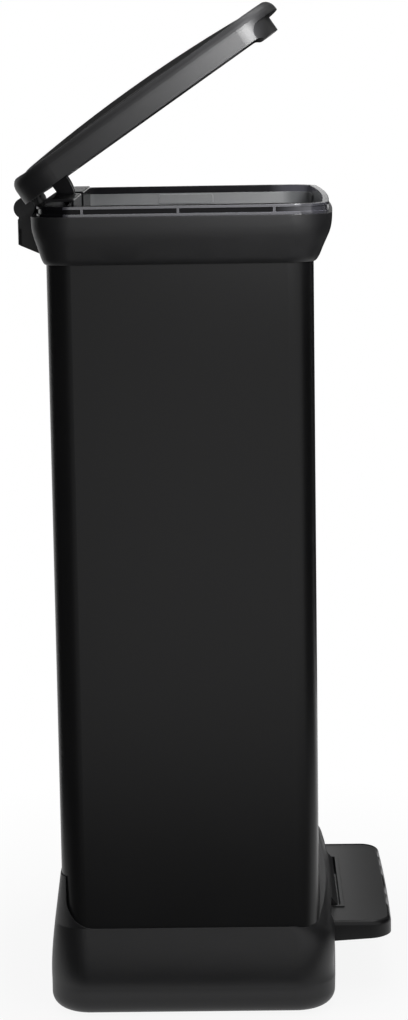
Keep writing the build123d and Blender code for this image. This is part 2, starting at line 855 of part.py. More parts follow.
with BuildPart() as pedal_axle:
    with BuildSketch(SIDE):
        with Locations((pivot_forward, pivot_height)):
            Circle(axle_radius)
    extrude(amount=axle_end, both=True)
    chamfer(pedal_axle.edges().filter_by(GeomType.CIRCLE), length=axle_chamfer)
write(pedal_axle.part, "pedal_axle")

# Spring washers pushed on to the two ends of the axle.
with BuildPart() as axle_clips:
    for side in (-1, 1):
        with BuildSketch(SIDE.offset(-side * clip_x)):
            with Locations((pivot_forward, pivot_height)):
                Circle(2 * axle_radius)
                Circle(axle_radius, mode=Mode.SUBTRACT)
        extrude(amount=clip_half, both=True)
write(axle_clips.part, "axle_clips")

# ---- Push rod, its cap, guides and channel ------------------------------------------------------

with BuildPart() as push_rod:
    with BuildSketch(Plane.XY.offset(tail_top + rod_gap)):
        with Locations((0, -rod_forward)):
            Circle(rod_radius)
    extrude(amount=cap_top - cap_height / 2 - tail_top - rod_gap)
    fillet(push_rod.edges().group_by(Axis.Z)[0], radius=rod_radius - 1)
write(push_rod.part, "push_rod")

# The lever pin slides along the flat top of the cap.
with BuildPart() as rod_cap:
    with BuildSketch(SIDE):
        with Locations((rod_forward, cap_top)):
            Rectangle(cap_length, cap_height / 2, align=HANGING)
        with Locations((rod_forward, cap_top - cap_height)):
            Rectangle(cap_neck, cap_height, align=STANDING)
        fillet(vertices().group_by(Axis.Y)[-1], radius=cap_round)
    extrude(amount=cap_width / 2, both=True)
    with BuildSketch(Plane.XY.offset(cap_top - cap_height)):
        with Locations((0, -rod_forward)):
            Circle(rod_radius)
    extrude(amount=cap_height / 2, mode=Mode.SUBTRACT)
write(rod_cap.part, "rod_cap")

with BuildPart() as rod_channel:
    with BuildSketch(Plane.XY.offset(deck_top)):
        with BuildLine():
            Polyline(
                (-channel_half_width, channel_back),
                (-channel_half_width, -channel_front),
                (channel_half_width, -channel_front),
                (channel_half_width, channel_back),
            )
            offset(amount=channel_wall, side=Side.LEFT, closed=True)
        make_face()
    extrude(amount=channel_top - deck_top)
    # Two feet turned out on to the deck.
    with BuildSketch(Plane.XY.offset(deck_top)):
        with Locations((channel_half_width, foot_y), (-channel_half_width, foot_y)):
            Rectangle(2 * channel_foot, channel_foot)
        Rectangle(2 * (channel_half_width - channel_wall), 3 * body_rear, mode=Mode.SUBTRACT)
    extrude(amount=channel_wall)
    with BuildSketch(Plane.XY.offset(deck_top)):
        with Locations(channel_screw_places):
            Circle(screw_radius)
    extrude(amount=channel_wall, mode=Mode.SUBTRACT)
write(rod_channel.part, "rod_channel")

with BuildPart() as channel_screws:
    with BuildSketch(Plane.XY.offset(deck_top + channel_wall)):
        with Locations(channel_screw_places):
            Circle(screw_head_radius)
    extrude(amount=screw_head)
    fillet(channel_screws.edges().group_by(Axis.Z)[-1], radius=screw_head / 2)
    with BuildSketch(Plane.XY.offset(deck_top)):
        with Locations(channel_screw_places):
            Circle(screw_radius)
    extrude(amount=channel_wall)
write(channel_screws.part, "channel_screws")

with BuildPart() as rod_guides:
    for height in guide_heights:
        with BuildSketch(Plane.XY.offset(height)):
            with Locations((0, guide_y)):
                Rectangle(2 * (channel_half_width - channel_wall), guide_depth)
            with Locations((0, -rod_forward)):
                Circle(rod_radius + running_gap, mode=Mode.SUBTRACT)
        extrude(amount=guide_height)
write(rod_guides.part, "rod_guides")

# ---- Hinge --------------------------------------------------------------------------------------

with BuildPart() as hinge_housing:
    with BuildSketch(SIDE):
        with BuildLine():
            Polyline(
                (housing_rear, housing_shoulder),
                (housing_rear, housing_top),
                (housing_inner, housing_top),
                (housing_inner, housing_toe),
                close=True,
            )
        make_face()
    extrude(amount=hinge_half_width, both=True)
    fillet(hinge_housing.edges().filter_by(Axis.Z).sort_by(Axis.Y)[-2:], radius=housing_round)
    # Seats against the collar and the body sheet.
    add(collar_form.part, mode=Mode.SUBTRACT)
    with BuildSketch(Plane.XY.offset(body_bottom)):
        make_face(body_outline(fit_gap))
    extrude(amount=body_top - body_bottom, mode=Mode.SUBTRACT)
    # Room for the lid's knuckles, then the housing's own knuckles.
    for x in lid_knuckle_places:
        with BuildSketch(SIDE.offset(-x)):
            with Locations((hinge_forward, hinge_height)):
                Circle(lid_knuckle_radius + 2 * side_gap)
        extrude(amount=knuckle_pitch / 2, both=True, mode=Mode.SUBTRACT)
    for x in housing_knuckle_places:
        with BuildSketch(SIDE.offset(-x)):
            with Locations((hinge_forward, hinge_height)):
                Circle(knuckle_radius)
            with Locations((hinge_forward, neck_bottom)):
                Rectangle(neck_width, hinge_height - neck_bottom, align=STANDING)
        extrude(amount=knuckle_pitch / 2, both=True)
    with BuildSketch(SIDE):
        with Locations((hinge_forward, hinge_height)):
            Circle(hinge_pin_radius + running_gap / 2)
    extrude(amount=pin_half, both=True, mode=Mode.SUBTRACT)
    for x, height in hinge_screw_places:
        with BuildSketch(Plane.XZ.offset(housing_rear)):
            with Locations((x, height)):
                Circle(screw_head_radius + fit_gap)
        extrude(amount=screw_head + 1, mode=Mode.SUBTRACT)
write(hinge_housing.part, "hinge_housing")

with BuildPart() as hinge_pin:
    with BuildSketch(SIDE):
        with Locations((hinge_forward, hinge_height)):
            Circle(hinge_pin_radius)
    extrude(amount=pin_half, both=True)
write(hinge_pin.part, "hinge_pin")

with BuildPart() as hinge_screws:
    for x, height in hinge_screw_places:
        with BuildSketch(Plane.XZ.offset(housing_rear + 1)):
            with Locations((x, height)):
                Circle(screw_head_radius)
        extrude(amount=screw_head)
write(hinge_screws.part, "hinge_screws")

# ---- Lid ----------------------------------------------------------------------------------------

# What is cut from the front corners to leave a grip under the lip.
with BuildPart() as finger_scoop:
    with BuildSketch(SIDE):
        with Locations((scoop_forward, scoop_top)):
            Rectangle(lid_front, lid_front, align=(Align.MIN, Align.MAX))
        fillet(vertices().group_by(Axis.Y)[-1].sort_by(Axis.X)[0], radius=scoop_round)
    extrude(amount=lid_beyond, both=True)
    with BuildSketch(Plane.XY.offset(lid_bottom - lid_front)):
        make_face(nose_outline())
    extrude(amount=2 * lid_front, mode=Mode.SUBTRACT)

with BuildPart() as lid_frame:
    with BuildSketch(Plane.XY.offset(nose_bottom)):
        make_face(lid_outline())
    extrude(amount=lip_root - nose_bottom)
    # The lip draws in as a quarter of an ellipse.
    for step in range(lip_steps + 1):
        turn = radians(90 * step / lip_steps)
        with BuildSketch(Plane.XY.offset(lip_root + (lid_lip_top - lip_root) * sin(turn))):
            make_face(lid_outline(lip_draw_in * (cos(turn) - 1)))
    loft(ruled=True)
    # Top edge in side view: low along the sides, rising to the lip and to the hinge end.
    with BuildSketch(SIDE):
        with BuildLine():
            Spline(*edge_points, tangents=((1, -0.2), (1, 0.2)))
            Polyline(
                edge_points[-1],
                (edge_points[-1][0], edge_above),
                (edge_points[0][0], edge_above),
                edge_points[0],
            )
        make_face()
    extrude(amount=lid_beyond, both=True, mode=Mode.SUBTRACT)
    # Lower edge in side view: level along the skirt, then down to the nose.
    with BuildSketch(SIDE):
        with BuildLine():
            Spline((scoop_forward, lid_bottom), (nose_end, nose_bottom), tangents=((1, 0), (1, 0)))
            Polyline(
                (nose_end, nose_bottom),
                (nose_end, 0),
                (2 * hinge_forward, 0),
                (2 * hinge_forward, lid_bottom),
                (scoop_forward, lid_bottom),
            )
        make_face()
    extrude(amount=lid_beyond, both=True, mode=Mode.SUBTRACT)
    add(finger_scoop.part, mode=Mode.SUBTRACT)
    # Seat for the domed panel, the opening in the flange, and the hollow underside.
    with BuildSketch(Plane.XY.offset(panel_seat)):
        make_face(panel_outline(fit_gap))
    extrude(amount=lid_lip_top, mode=Mode.SUBTRACT)
    with BuildSketch(Plane.XY.offset(lid_bottom)):
        make_face(panel_outline(-flange_width))
    extrude(amount=lid_lip_top, mode=Mode.SUBTRACT)
    with BuildSketch(Plane.XY.offset(nose_bottom)):
        make_face(cavity_outline())
    extrude(amount=flange_bottom - nose_bottom, mode=Mode.SUBTRACT)
    # Knuckles, webbed to the rear wall.
    for x in lid_knuckle_places:
        with BuildSketch(SIDE.offset(-x)):
            with BuildLine(mode=Mode.PRIVATE) as knuckle:
                CenterArc((hinge_forward, hinge_height), lid_knuckle_radius, 0, 360)
                Line((web_forward, lid_bottom + 1), (web_forward, lid_edge))
            make_hull(knuckle.edges())
        extrude(amount=knuckle_pitch / 2 - side_gap, both=True)
    with BuildSketch(SIDE):
        with Locations((hinge_forward, hinge_height)):
            Circle(hinge_pin_radius + running_gap)
    extrude(amount=hinge_half_width, both=True, mode=Mode.SUBTRACT)
write_lid(lid_frame.part, "lid_frame")


def domed_panel(inset):
    """Panel blank with a double crown and a rounded edge, drawn in all round by inset."""
    with BuildPart() as blank:
        with BuildSketch(Plane.XY.offset(panel_seat - inset)):
            make_face(panel_outline(-inset))
        extrude(amount=lid_crown)
        with BuildSketch(SIDE):
            with Locations((crown_centre, lid_crown - crown_length_radius)):
                Circle(crown_length_radius - inset)
                Rectangle(8 * lid_front, 2 * crown_length_radius, align=HANGING, mode=Mode.SUBTRACT)
        revolve(axis=crown_axis, mode=Mode.INTERSECT)
        fillet(blank.faces().sort_by(Axis.Z)[-1].edges(), radius=panel_round - inset)
    return blank.part


with BuildPart() as lid_panel:
    add(domed_panel(0))
    add(domed_panel(panel_wall), mode=Mode.SUBTRACT)
write_lid(lid_panel.part, "lid_panel")

with BuildPart() as lid_liner:
    with BuildSketch(Plane.XY.offset(liner_bottom)):
        make_face(cavity_outline(-liner_gap))
    extrude(amount=liner_thickness)
    # Shallow field pressed into the middle.
    with BuildSketch(Plane.XY.offset(liner_bottom + liner_thickness)):
        make_face(panel_outline(-liner_field))
    extrude(amount=liner_thickness)
    with BuildSketch(Plane.XY.offset(liner_bottom)):
        make_face(panel_outline(-liner_field - liner_thickness))
    extrude(amount=liner_thickness, mode=Mode.SUBTRACT)
write_lid(lid_liner.part, "lid_liner")

with BuildPart() as liner_screws:
    with BuildSketch(Plane.XY.offset(liner_bottom)):
        with Locations(liner_screw_places):
            Circle(screw_head_radius)
    extrude(amount=-screw_head / 2)
write_lid(liner_screws.part, "liner_screws")

with BuildPart() as lid_buffers:
    with BuildSketch(Plane.XY.offset(ring_top + fit_gap)):
        with Locations(buffer_places):
            Circle(buffer_radius)
    extrude(amount=liner_bottom - ring_top - fit_gap)
    fillet(lid_buffers.edges().group_by(Axis.Z)[0], radius=1)
write_lid(lid_buffers.part, "lid_buffers")

# Lever under the lid: a foot on the liner and two cheeks that carry the pin, whose front edges are
# round about the hinge.
with BuildPart() as lid_lever:
    for side in (-1, 1):
        with BuildSketch(SIDE.offset(side * (lever_inside + lever_cheek / 2))):
            with Locations((hinge_forward, hinge_height)):
                Circle(lever_reach + lever_nose)
            with Locations((foot_rear, foot_bottom)):
                Rectangle(
                    lever_reach,
                    foot_bottom + lever_nose - shut_pin[1],
                    align=(Align.MIN, Align.MAX),
                    mode=Mode.INTERSECT,
                )
        extrude(amount=lever_cheek / 2, both=True)
    with BuildSketch(Plane.XY.offset(foot_bottom)):
        with Locations((0, -(foot_rear + foot_front) / 2)):
            Rectangle(2 * foot_half_width, foot_front - foot_rear)
    extrude(amount=lever_foot)
    with BuildSketch(SIDE):
        with Locations(shut_pin):
            Circle(lever_pin_radius + running_gap / 2)
    extrude(amount=lever_inside + 2 * lever_cheek, both=True, mode=Mode.SUBTRACT)
write_lid(lid_lever.part, "lid_lever")

with BuildPart() as lever_pin:
    with BuildSketch(SIDE):
        with Locations(shut_pin):
            Circle(lever_pin_radius)
    extrude(amount=lever_inside + lever_cheek + 1, both=True)
write_lid(lever_pin.part, "lever_pin")
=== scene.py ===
# %% [markdown]
# # Dressing a pedal bin
#
# The solid model of the bin comes first, and it is already exact: every panel, joint and clearance
# is in it. What it lacks is a surface. This lesson gives each piece its finish, adds the small
# fasteners, and lights the bin in a plain studio.
#
# The solid model is loaded as a fixed frame. Its box is kept at once, because the dressed bin must
# not grow out of it.

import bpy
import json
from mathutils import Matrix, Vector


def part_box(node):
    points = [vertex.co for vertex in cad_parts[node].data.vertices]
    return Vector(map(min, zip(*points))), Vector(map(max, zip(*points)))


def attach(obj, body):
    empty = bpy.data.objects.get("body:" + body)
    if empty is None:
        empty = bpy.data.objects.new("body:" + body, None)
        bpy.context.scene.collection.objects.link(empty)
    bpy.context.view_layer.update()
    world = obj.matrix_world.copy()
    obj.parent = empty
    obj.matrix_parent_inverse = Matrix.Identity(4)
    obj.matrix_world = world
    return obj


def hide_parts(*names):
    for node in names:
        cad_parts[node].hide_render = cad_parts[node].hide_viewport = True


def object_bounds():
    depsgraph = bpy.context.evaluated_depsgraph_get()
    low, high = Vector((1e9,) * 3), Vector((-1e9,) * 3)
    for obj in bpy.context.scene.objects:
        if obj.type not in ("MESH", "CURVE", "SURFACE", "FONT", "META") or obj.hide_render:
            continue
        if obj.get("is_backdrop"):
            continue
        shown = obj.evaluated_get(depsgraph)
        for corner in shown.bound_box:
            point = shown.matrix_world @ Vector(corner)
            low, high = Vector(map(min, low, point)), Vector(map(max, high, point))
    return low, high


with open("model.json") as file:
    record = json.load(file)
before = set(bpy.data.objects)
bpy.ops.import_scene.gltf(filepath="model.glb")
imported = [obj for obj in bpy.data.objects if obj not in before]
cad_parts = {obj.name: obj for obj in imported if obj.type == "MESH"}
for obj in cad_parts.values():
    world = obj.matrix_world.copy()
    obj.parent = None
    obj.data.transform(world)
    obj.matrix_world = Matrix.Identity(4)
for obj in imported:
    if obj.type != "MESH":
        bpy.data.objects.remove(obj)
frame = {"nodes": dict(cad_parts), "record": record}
cad_low, cad_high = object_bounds()
print("solid model from", [round(v, 3) for v in cad_low], "to", [round(v, 3) for v in cad_high])

# %% [markdown]
# The rest of the lesson needs Blender itself and a little geometry. Lengths are thought of in
# millimetres, as on a drawing, and Blender wants metres, so one factor turns the first into the
# second.
#
# An operator acts on everything that is selected, and loading leaves the whole bin selected. The
# first helper therefore empties the selection, and every piece that is made later starts with it.

# %% Units and a clean selection
import json
import math

import bmesh
import bpy
from mathutils import Matrix, Vector

MM = 0.001


def clear_selection():
    """Leaves object mode with nothing selected."""
    if bpy.context.mode != "OBJECT":
        bpy.ops.object.mode_set(mode="OBJECT")
    bpy.ops.object.select_all(action="DESELECT")


clear_selection()

# %% [markdown]
# ## The camera
#
# A product picture of a tall bin is taken from some distance with a long lens, so that its sides
# stay nearly parallel. Here the camera stands to the left of the bin, a little above its middle,
# and tilts down slightly. Its place and its three turns are set one after another: about the
# vertical for the heading, about its own side for the tilt, and about its own line of sight for
# the roll.

# %% Place the camera
camera_place = Vector((-2373.5, -30.7, 823.9)) * MM
camera_heading = math.radians(-89.2059)
camera_tilt = math.radians(80.3938)
camera_roll = math.radians(-0.8955)
sensor_size = 36
focal_length = 91.34

camera_data = bpy.data.cameras.new("camera")
camera_data.sensor_width = sensor_size
camera_data.lens = focal_length
camera = bpy.data.objects.new("camera", camera_data)
bpy.context.scene.collection.objects.link(camera)
camera.matrix_world = (
    Matrix.Translation(camera_place)
    @ Matrix.Rotation(camera_heading, 4, "Z")
    @ Matrix.Rotation(camera_tilt, 4, "X")
    @ Matrix.Rotation(camera_roll, 4, "Z")
)
bpy.context.scene.camera = camera
print("camera", round((camera_place - (cad_low + cad_high) / 2).length, 2), "m from the bin")

# %% [markdown]
# ## The studio
#
# The bin is black, and a black surface shows little but reflections. The studio is built for
# those: a white surround that the eye, glossy rays and rays through clear material all meet at
# full strength, and a weaker glow for the soft light that fills the shadows. One node, Light Path,
# tells the two apart.
#
# View transform Standard keeps the colours as they are written.

# %% Light the surround
bpy.context.scene.view_settings.view_transform = "Standard"
fill_strength = 0.32
white_strength = 1.0


def pale_to_the_eye(tree):
    """A mask that is 1 for rays from the camera, reflected rays and rays through clear material."""
    path = tree.nodes.new("ShaderNodeLightPath")
    mask = path.outputs["Is Camera Ray"]
    for ray in ("Is Glossy Ray", "Is Transmission Ray"):
        either = tree.nodes.new("ShaderNodeMath")
        either.operation = "MAXIMUM"
        tree.links.new(mask, either.inputs[0])
        tree.links.new(path.outputs[ray], either.inputs[1])
        mask = either.outputs["Value"]
    return mask


world = bpy.data.worlds.new("studio")
world.use_nodes = True
bpy.context.scene.world = world
surround = world.node_tree
surround.nodes.clear()
fill = surround.nodes.new("ShaderNodeBackground")
fill.inputs["Strength"].default_value = fill_strength
white = surround.nodes.new("ShaderNodeBackground")
for light in (fill, white):
    light.inputs["Color"].default_value = (1, 1, 1, 1)
white.inputs["Strength"].default_value = white_strength
choice = surround.nodes.new("ShaderNodeMixShader")
surround.links.new(pale_to_the_eye(surround), choice.inputs["Fac"])
surround.links.new(fill.outputs["Background"], choice.inputs[1])
surround.links.new(white.outputs["Background"], choice.inputs[2])
world_output = surround.nodes.new("ShaderNodeOutputWorld")
surround.links.new(choice.outputs["Shader"], world_output.inputs["Surface"])

# %% [markdown]
# The floor is a wide white sheet under the bin. To the eye and in reflections it is nearly all
# white, with a small share of real, lit surface left in near the bin, and that share is what
# carries the soft shadow round its foot. Further away the share fades to nothing, so that the
# sheet runs into the surround with no horizon. A plane is made by its operator, and everything
# that isn't the bin is marked as backdrop, so that the box of the bin leaves it out.

# %% Lay the floor
floor_size = 30
floor_shade = 0.88
shadow_share = 0.1
shadow_near = 0.2
shadow_far = 0.6

clear_selection()
bpy.ops.mesh.primitive_plane_add(size=floor_size)
floor = bpy.context.active_object
floor.name = "floor"
floor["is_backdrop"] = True

floor_paper = bpy.data.materials.new("floor_paper")
floor_paper.use_nodes = True
paper = floor_paper.node_tree
paper.nodes.clear()
lit = paper.nodes.new("ShaderNodeBsdfDiffuse")
lit.inputs["Color"].default_value = (floor_shade, floor_shade, floor_shade, 1)
glow = paper.nodes.new("ShaderNodeEmission")
glow.inputs["Strength"].default_value = white_strength
spot = paper.nodes.new("ShaderNodeTexCoord")
away = paper.nodes.new("ShaderNodeVectorMath")
away.operation = "LENGTH"
paper.links.new(spot.outputs["Object"], away.inputs[0])
fade = paper.nodes.new("ShaderNodeMapRange")
for label, value in (
    ("From Min", shadow_near),
    ("From Max", shadow_far),
    ("To Min", 1 - shadow_share),
    ("To Max", 1.0),
):
    fade.inputs[label].default_value = value
paper.links.new(away.outputs["Value"], fade.inputs["Value"])
share = paper.nodes.new("ShaderNodeMath")
share.operation = "MULTIPLY"
paper.links.new(pale_to_the_eye(paper), share.inputs[0])
paper.links.new(fade.outputs["Result"], share.inputs[1])
sheet = paper.nodes.new("ShaderNodeMixShader")
paper.links.new(share.outputs["Value"], sheet.inputs["Fac"])
paper.links.new(lit.outputs["BSDF"], sheet.inputs[1])
paper.links.new(glow.outputs["Emission"], sheet.inputs[2])
paper_output = paper.nodes.new("ShaderNodeOutputMaterial")
paper.links.new(sheet.outputs["Shader"], paper_output.inputs["Surface"])
floor.data.materials.append(floor_paper)

# %% [markdown]
# The lamps are softboxes: large, even rectangles of light. One hangs over the bin and lights what
# faces up. One stands high on the far side and draws a bright line along the upper edges. The
# third is small and close, with a narrow beam that reaches only the front half of the lid's side,
# which is why the lid shades from dark at its hinge to bright at its lip.

# %% Hang the softboxes


def softbox(name, place, aim, size, watts, beam=180):
    """A rectangle of light at a place, turned towards the point it is aimed at.

    beam is the angle that its light spreads over, in degrees.
    """
    data = bpy.data.lights.new(name, "AREA")
    data.shape = "RECTANGLE"
    data.size, data.size_y = size
    data.energy = watts
    data.spread = math.radians(beam)
    lamp = bpy.data.objects.new(name, data)
    bpy.context.scene.collection.objects.link(lamp)
    lamp.location = place
    lamp.rotation_mode = "QUATERNION"
    lamp.rotation_quaternion = (Vector(aim) - Vector(place)).to_track_quat("-Z", "Y")
    return lamp


softbox("overhead", place=(0.1, 0.0, 2.6), aim=(0, 0, 0.7), size=(1.6, 1.6), watts=19)
softbox("beyond", place=(1.8, -0.6, 1.9), aim=(0, 0, 0.6), size=(1.2, 1.2), watts=11)
softbox(
    "lid_front",
    place=(-0.9, -0.30, 1.06),
    aim=(-0.19, -0.16, 0.96),
    size=(0.26, 0.2),
    watts=2.35,
    beam=40,
)

# %% [markdown]
# Round vertical corners on a black body look flat if they mirror white all round. In a studio,
# black cards called flags are therefore stood round such an object, and one is laid before it on
# the floor. The corners then show a dark band, which tells the eye that they are
# round, and what faces down stays dark. The cards throw no shadow, and the camera is set not to
# see them.
#
# One small card does the opposite: nothing mirrors it, and it does throw a shadow. It keeps the
# narrow lamp off the lid's finger scoop and lip, so that these stay dark beside the bright end of
# the skirt.

# %% Stand black flags round the bin
flag_black = bpy.data.materials.new("flag_black")
flag_black.use_nodes = True
felt = flag_black.node_tree.nodes["Principled BSDF"]
felt.inputs["Base Color"].default_value = (0.002, 0.002, 0.002, 1)
felt.inputs["Roughness"].default_value = 1
felt.inputs["Specular IOR Level"].default_value = 0


def card(name, centre, size, turns):
    """A black card that only reflections meet."""
    clear_selection()
    bpy.ops.mesh.primitive_plane_add(size=1, location=centre, rotation=turns)
    black_card = bpy.context.active_object
    black_card.name = name
    black_card.scale = (*size, 1)
    black_card.visible_camera = False
    black_card.visible_shadow = False
    black_card.visible_diffuse = False
    black_card.data.materials.append(flag_black)
    black_card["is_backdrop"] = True
    return black_card


def flag(name, start, end, low, high):
    """An upright card over the line from start to end on the floor."""
    run = Vector(end) - Vector(start)
    centre = (Vector(start) + run / 2).to_3d()
    centre.z = (low + high) / 2
    turns = (math.radians(90), 0, math.atan2(run.y, run.x))
    return card(name, centre, (run.length, high - low), turns)


flag("flag_rear", start=(-1.25, 0.36), end=(0.15, 0.50), low=0.02, high=1.6)
flag("flag_front", start=(-0.55, -0.85), end=(0.30, -0.62), low=0.02, high=1.2)
flag("flag_lid", start=(-1.15, -0.70), end=(-0.30, -0.60), low=0.80, high=1.7)
flag("flag_beyond_pedal", start=(0.90, -0.15), end=(0.90, -1.20), low=0.02, high=1.2)
flag("flag_beyond_lid", start=(1.00, -1.20), end=(1.00, 0.90), low=0.78, high=2.6)
lid_shade = flag("lid_shade", start=(-0.235, -0.16), end=(-0.235, -0.067), low=0.85, high=0.93)
lid_shade.visible_shadow = True
lid_shade.visible_glossy = False
card("flag_below", centre=(-0.51, 0.1, 0.02), size=(0.6, 1.6), turns=(0, 0, 0))

# %% [markdown]
# ## Effects that several finishes share
#
# Moulded grain, slow cloudy variation, rubbed streaks and softened edges turn up on many surfaces
# of the bin, each time at another strength. Each effect is therefore built once as a shader node
# group and placed in a material with that material's own values.
#
# Three helpers make that short: one starts a group, one adds a node and sets it, and one adds a
# sum.

# %% Helpers for node groups


def new_group(name, inputs, outputs):
    """An empty shader node group, with its two end nodes."""
    group = bpy.data.node_groups.new(name, "ShaderNodeTree")
    for label, value in inputs.items():
        socket = group.interface.new_socket(
            name=label, in_out="INPUT", socket_type="NodeSocketFloat"
        )
        socket.default_value = value
    for label, kind in outputs.items():
        group.interface.new_socket(name=label, in_out="OUTPUT", socket_type=kind)
    return group, group.nodes.new("NodeGroupInput"), group.nodes.new("NodeGroupOutput")


def add_node(tree, kind, settings=None, values=None):
    """A node with its settings, and with its sockets set to values or joined to other sockets."""
    node = tree.nodes.new(kind)
    for name, setting in (settings or {}).items():
        setattr(node, name, setting)
    for name, value in (values or {}).items():
        if isinstance(value, bpy.types.NodeSocket):
            tree.links.new(value, node.inputs[name])
        else:
            node.inputs[name].default_value = value
    return node


def sum_of(tree, operation, first, second, clamp=False):
    """The result of one sum on two numbers or sockets."""
    settings = {"operation": operation, "use_clamp": clamp}
    return add_node(tree, "ShaderNodeMath", settings, {0: first, 1: second}).outputs["Value"]


# %% [markdown]
# ### Moulded grain
#
# The cavity of a mould is etched, so that the plastic comes out with a fine leathery grain that
# hides scratches. Two patterns make it: small cells for the pebbles, and finer noise that breaks
# them up. Size is the width of a pebble in millimetres, and the group gives a height for a Bump
# node.

# %% Build the moulded grain
pebble_share = 0.8
fine_per_pebble = 2.3

grain, grain_in, grain_out = new_group(
    "moulded_grain", {"Size": 0.9}, {"Height": "NodeSocketFloat"}
)
place = add_node(grain, "ShaderNodeTexCoord").outputs["Object"]
cells_per_metre = sum_of(grain, "DIVIDE", 1 / MM, grain_in.outputs["Size"])
pebbles = add_node(
    grain,
    "ShaderNodeTexVoronoi",
    {"feature": "SMOOTH_F1"},
    {"Vector": place, "Scale": cells_per_metre, "Smoothness": 0.6},
)
fine_per_metre = sum_of(grain, "MULTIPLY", cells_per_metre, fine_per_pebble)
fine = add_node(
    grain, "ShaderNodeTexNoise", None, {"Vector": place, "Scale": fine_per_metre, "Detail": 2.0}
)
pebble_height = sum_of(grain, "MULTIPLY", pebbles.outputs["Distance"], pebble_share)
grain_height = sum_of(grain, "ADD", pebble_height, fine.outputs["Fac"])
grain.links.new(grain_height, grain_out.inputs["Height"])

# %% [markdown]
# ### Clouds
#
# No large surface has one even colour and gloss. Flow in the mould, the spread of a coat and the
# touch of hands all leave slow, cloudy differences. The group gives them as a value about zero, so
# that it can be added to a roughness or used to lighten and darken a colour.

# %% Build the clouds
noise_middle = 0.5

clouds, clouds_in, clouds_out = new_group(
    "clouds", {"Size": 60.0, "Amount": 1.0}, {"Value": "NodeSocketFloat"}
)
place = add_node(clouds, "ShaderNodeTexCoord").outputs["Object"]
clouds_per_metre = sum_of(clouds, "DIVIDE", 1 / MM, clouds_in.outputs["Size"])
billow = add_node(
    clouds,
    "ShaderNodeTexNoise",
    None,
    {"Vector": place, "Scale": clouds_per_metre, "Detail": 4.0, "Roughness": 0.6},
)
about_zero = sum_of(clouds, "SUBTRACT", billow.outputs["Fac"], noise_middle)
cloud_value = sum_of(clouds, "MULTIPLY", about_zero, clouds_in.outputs["Amount"])
clouds.links.new(cloud_value, clouds_out.inputs["Value"])

# %% [markdown]
# ### Rubbed streaks
#
# Cloths, shoes and bags leave hairline rubs. They are long in one direction and thin in the other,
# and they come in patches. Noise stretched by a Mapping node gives the hairlines, and a slower
# noise keeps them to patches. The mask is used to raise the roughness and to lighten the colour a
# very little.

# %% Build the rubbed streaks
streak_turns = (14, -38)
streak_stretch = (900, 22, 900)
patches_per_metre = 14.0

rubs, rubs_in, rubs_out = new_group(
    "rubbed_streaks", {"Amount": 1.0}, {"Mask": "NodeSocketFloat"}
)
place = add_node(rubs, "ShaderNodeTexCoord").outputs["Object"]
streak_mask = 0.0
for turn in streak_turns:
    stretched = add_node(
        rubs,
        "ShaderNodeMapping",
        None,
        {
            "Vector": place,
            "Rotation": (math.radians(turn), math.radians(turn / 2), math.radians(turn)),
            "Scale": streak_stretch,
        },
    )
    hairlines = add_node(
        rubs,
        "ShaderNodeTexNoise",
        None,
        {"Vector": stretched.outputs["Vector"], "Scale": 1.0, "Detail": 1.0},
    )
    thin = add_node(
        rubs,
        "ShaderNodeMapRange",
        None,
        {"Value": hairlines.outputs["Fac"], "From Min": 0.66, "From Max": 0.74},
    )
    streak_mask = sum_of(rubs, "MAXIMUM", streak_mask, thin.outputs["Result"])
patches = add_node(
    rubs, "ShaderNodeTexNoise", None, {"Vector": place, "Scale": patches_per_metre, "Detail": 2.0}
)
patchy = add_node(
    rubs,
    "ShaderNodeMapRange",
    None,
    {"Value": patches.outputs["Fac"], "From Min": 0.45, "From Max": 0.7},
)
streak_mask = sum_of(rubs, "MULTIPLY", streak_mask, patchy.outputs["Result"])
streak_mask = sum_of(rubs, "MULTIPLY", streak_mask, rubs_in.outputs["Amount"])
rubs.links.new(streak_mask, rubs_out.inputs["Mask"])

# %% [markdown]
# ### Softened edges
#
# A solid model has edges of no width, and no real edge is like that: even a sharp one is a tenth
# or two of a millimetre round, and catches a thin line of light. The Bevel node turns the surface
# normal near an edge as if the edge were round. Where its normal leaves the true one, there is an
# edge, and that gives a mask for wear as well.

# %% Build the softened edges
edges, edges_in, edges_out = new_group(
    "softened_edges", {"Radius": 0.6}, {"Normal": "NodeSocketVector", "Mask": "NodeSocketFloat"}
)
radius_in_metres = sum_of(edges, "MULTIPLY", edges_in.outputs["Radius"], MM)
rounded = add_node(edges, "ShaderNodeBevel", {"samples": 4}, {"Radius": radius_in_metres})
surface = add_node(edges, "ShaderNodeNewGeometry")
alike = add_node(
    edges,
    "ShaderNodeVectorMath",
    {"operation": "DOT_PRODUCT"},
    {0: rounded.outputs["Normal"], 1: surface.outputs["Normal"]},
)
edge_mask = add_node(
    edges,
    "ShaderNodeMapRange",
    None,
    {
        "Value": alike.outputs["Value"],
        "From Min": 0.98,
        "From Max": 0.82,
        "To Min": 0.0,
        "To Max": 1.0,
    },
)
edges.links.new(rounded.outputs["Normal"], edges_out.inputs["Normal"])
edges.links.new(edge_mask.outputs["Result"], edges_out.inputs["Mask"])
print("shared effects:", [group.name for group in bpy.data.node_groups])

# %% [markdown]
# ## Finishes
#
# All the finishes follow one plan. The colour is lightened and darkened by clouds, and lightened
# again along the edges, where hands and cloths wear it. The roughness is moved by clouds and rubs.
# The normal comes from the softened edges, with the surface's own texture bumped on top. What
# differs is the values, and a few finishes add something of their own.
#
# The helper below follows that plan and gives back the material, so that a finish can go on from
# there.

# %% The plan of a finish
streak_lightens = 0.4
streak_roughens = 0.15


def place_group(tree, group, values=None):
    """A shared effect placed in a material, with that material's values."""
    return add_node(tree, "ShaderNodeGroup", {"node_tree": group}, values)


